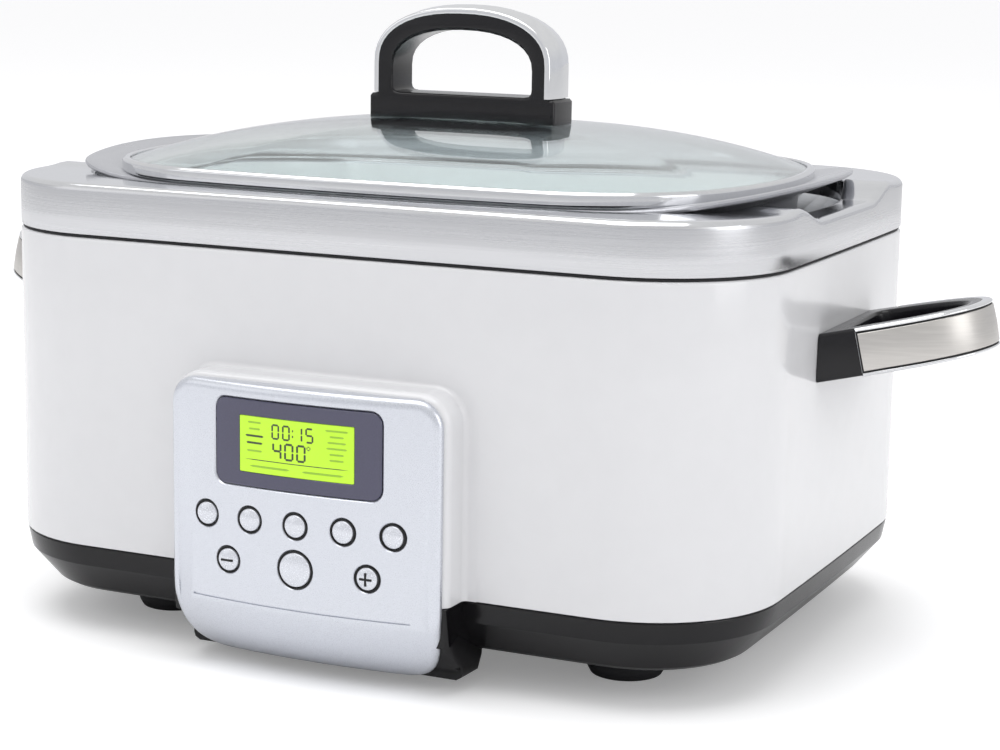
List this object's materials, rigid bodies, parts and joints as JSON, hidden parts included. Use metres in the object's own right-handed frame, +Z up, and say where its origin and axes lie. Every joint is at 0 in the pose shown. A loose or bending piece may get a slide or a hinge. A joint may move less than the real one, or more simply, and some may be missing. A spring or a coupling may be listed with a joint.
{
  "type": "slow cooker",
  "caption": "Family-size electric slow cooker with a lift-out pot, domed glass lid with an arched handle, loop side handles and a bowed control panel.",
  "frame": {"origin": "on the floor, under the centre of the whole object's box, between the four feet", "axes": "+Z up, +X to the right of someone facing the control panel, -Y out of the control panel"},
  "size_m": [0.5084, 0.3152, 0.2847],
  "materials": {
    "white_shell": "glossy white moulded plastic",
    "brushed_steel": "stainless steel, fine brushed, with a polished edge",
    "chrome_trim": "bright chrome plate",
    "silver_panel": "silver metallic lacquer on moulded plastic, satin",
    "button_silver": "satin silver plated buttons",
    "black_base": "glossy black moulded plastic",
    "handle_black": "satin black moulded phenolic",
    "rubber": "matte black rubber",
    "slate_bezel": "slate grey gloss frame of the display",
    "display_lens": "clear lens over a lime-green backlit display with dark digits",
    "circuit_board": "green circuit board with moulded components",
    "aluminium": "pressed aluminium",
    "pot_coating": "cast aluminium with a grey non-stick coating",
    "lid_glass": "clear tempered glass",
    "screw_steel": "zinc-plated steel",
    "mineral_fleece": "white glass-fibre fleece"
  },
  "bodies": {
    "cooker": {"outer_housing": "white_shell", "rim_gasket": "rubber", "rim_band": "brushed_steel", "base_pan": "black_base", "heating_well": "aluminium", "insulation_sleeve": "mineral_fleece", "heating_element": "screw_steel", "thermal_fuse": "screw_steel", "sensor_cup": "aluminium", "power_board": "circuit_board", "cord_gland": "rubber", "control_panel": "silver_panel", "display_bezel": "slate_bezel", "display_lens": "display_lens", "display_module": "circuit_board", "key_carrier": "black_base", "control_board": "circuit_board", "foot_front_left": "rubber", "foot_screw_front_left": "screw_steel", "foot_front_right": "rubber", "foot_screw_front_right": "screw_steel", "foot_rear_left": "rubber", "foot_screw_rear_left": "screw_steel", "foot_rear_right": "rubber", "foot_screw_rear_right": "screw_steel", "left_handle_bracket": "handle_black", "left_handle_plate": "chrome_trim", "left_handle_screw_front": "screw_steel", "left_handle_screw_rear": "screw_steel", "right_handle_bracket": "handle_black", "right_handle_plate": "chrome_trim", "right_handle_screw_front": "screw_steel", "right_handle_screw_rear": "screw_steel"},
    "pot": {"cooking_pot": "pot_coating"},
    "lid": {"lid_glass": "lid_glass", "lid_rim": "brushed_steel", "lid_handle": "handle_black", "handle_strap": "chrome_trim", "lid_screw_left": "screw_steel", "lid_screw_right": "screw_steel"},
    "sensor": {"temperature_sensor": "aluminium", "sensor_spring": "screw_steel"},
    "button_1_cap": {"button_1": "button_silver"},
    "button_2_cap": {"button_2": "button_silver"},
    "button_3_cap": {"button_3": "button_silver"},
    "button_4_cap": {"button_4": "button_silver"},
    "button_5_cap": {"button_5": "button_silver"},
    "button_minus_cap": {"button_minus": "button_silver"},
    "button_plus_cap": {"button_plus": "button_silver"},
    "button_start_cap": {"button_start": "button_silver"}
  },
  "joints": [
    {"name": "pot_lift", "type": "slide", "parent": "cooker", "child": "pot", "axis": [0, 0, 1], "range_m": [0, 0.17]},
    {"name": "lid_lift", "type": "slide", "parent": "pot", "child": "lid", "axis": [0, 0, 1], "range_m": [0, 0.08]},
    {"name": "sensor_press", "type": "slide", "parent": "cooker", "child": "sensor", "axis": [0, 0, -1], "range_m": [0, 0.002], "stiffness_N_per_m": 300, "deforming": ["sensor_spring"]},
    {"name": "button_1_press", "type": "slide", "parent": "cooker", "child": "button_1_cap", "axis": [0, 1, 0], "range_m": [0, 0.001], "stiffness_N_per_m": 700},
    {"name": "button_2_press", "type": "slide", "parent": "cooker", "child": "button_2_cap", "axis": [0, 1, 0], "range_m": [0, 0.001], "stiffness_N_per_m": 700},
    {"name": "button_3_press", "type": "slide", "parent": "cooker", "child": "button_3_cap", "axis": [0, 1, 0], "range_m": [0, 0.001], "stiffness_N_per_m": 700},
    {"name": "button_4_press", "type": "slide", "parent": "cooker", "child": "button_4_cap", "axis": [0, 1, 0], "range_m": [0, 0.001], "stiffness_N_per_m": 700},
    {"name": "button_5_press", "type": "slide", "parent": "cooker", "child": "button_5_cap", "axis": [0, 1, 0], "range_m": [0, 0.001], "stiffness_N_per_m": 700},
    {"name": "button_minus_press", "type": "slide", "parent": "cooker", "child": "button_minus_cap", "axis": [0, 1, 0], "range_m": [0, 0.001], "stiffness_N_per_m": 700},
    {"name": "button_plus_press", "type": "slide", "parent": "cooker", "child": "button_plus_cap", "axis": [0, 1, 0], "range_m": [0, 0.001], "stiffness_N_per_m": 700},
    {"name": "button_start_press", "type": "slide", "parent": "cooker", "child": "button_start_cap", "axis": [0, 1, 0], "range_m": [0, 0.001], "stiffness_N_per_m": 700}
  ]
}
